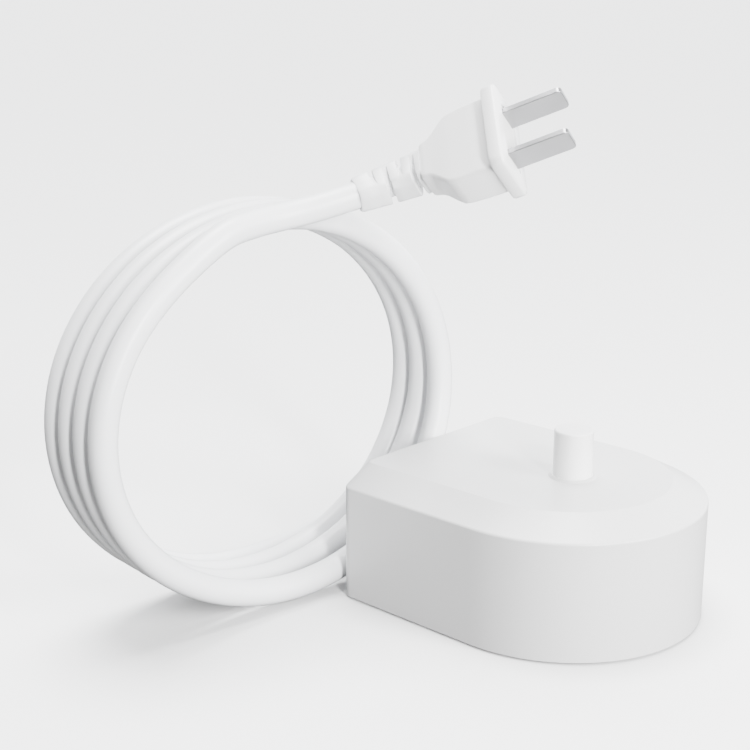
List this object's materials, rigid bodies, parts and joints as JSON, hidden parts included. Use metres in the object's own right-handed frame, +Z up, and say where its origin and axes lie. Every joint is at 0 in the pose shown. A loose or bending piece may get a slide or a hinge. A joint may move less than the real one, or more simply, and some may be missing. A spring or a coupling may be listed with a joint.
{
  "type": "electric toothbrush charging base",
  "caption": "Round-fronted charging base with a bevelled deck, an upright charging post and a coiled mains cord to a flat-blade plug.",
  "frame": {"origin": "on the surface it stands on, below the middle of the base, measured without the cord and plug", "axes": "+Z up along the charging post, -Y to the round front, +Y to the flat back where the cord leaves, +X to the right seen from the front"},
  "size_m": [0.1394, 0.1182, 0.1303],
  "materials": {
    "housing_white": "satin moulded ABS, fine grain",
    "post_white": "smooth moulded ABS",
    "cover_white": "fine spark texture",
    "soft_rubber": "matt grey elastomer",
    "screw_steel": "zinc plated",
    "board_laminate": "green solder mask on glass laminate",
    "ferrite_grey": "sintered, matt",
    "bobbin_black": "moulded nylon",
    "winding_copper": "enamelled copper wire",
    "capacitor_sleeve": "shrunk sleeve",
    "film_block": "cast resin",
    "package_black": "moulded epoxy",
    "resistor_ceramic": "coated ceramic",
    "wire_brown": "insulated wire",
    "wire_blue": "insulated wire",
    "cord_sheath": "satin soft vinyl",
    "relief_white": "soft vinyl, moulded",
    "plug_white": "hard vinyl, satin",
    "insert_white": "thermoset insert",
    "blade_nickel": "nickel-plated strip",
    "conductor_copper": "stranded copper with insulation"
  },
  "bodies": {
    "root": {"upper_housing": "housing_white", "bottom_cover": "cover_white", "housing_seal": "soft_rubber", "foot_1": "soft_rubber", "foot_2": "soft_rubber", "foot_3": "soft_rubber", "foot_4": "soft_rubber", "cover_screws": "screw_steel", "charging_post": "post_white", "ferrite_core": "ferrite_grey", "coil_bobbin": "bobbin_black", "primary_winding": "winding_copper", "circuit_board": "board_laminate", "board_screws": "screw_steel", "bulk_capacitor": "capacitor_sleeve", "film_capacitor": "film_block", "input_choke": "package_black", "bridge_rectifier": "package_black", "power_transistor": "package_black", "fuse_resistor": "resistor_ceramic", "cord_strain_relief": "relief_white", "cord_inner_end": "cord_sheath", "cord_clamp": "cover_white", "clamp_screws": "screw_steel", "live_wire": "wire_brown", "neutral_wire": "wire_blue", "cord_tail": "cord_sheath", "cord_coil": "cord_sheath", "cord_lead": "cord_sheath", "plug_conductors": "conductor_copper", "plug_blade_1": "blade_nickel", "plug_blade_2": "blade_nickel", "plug_insert": "insert_white", "plug_body": "plug_white", "plug_strain_relief": "relief_white"}
  },
  "joints": []
}
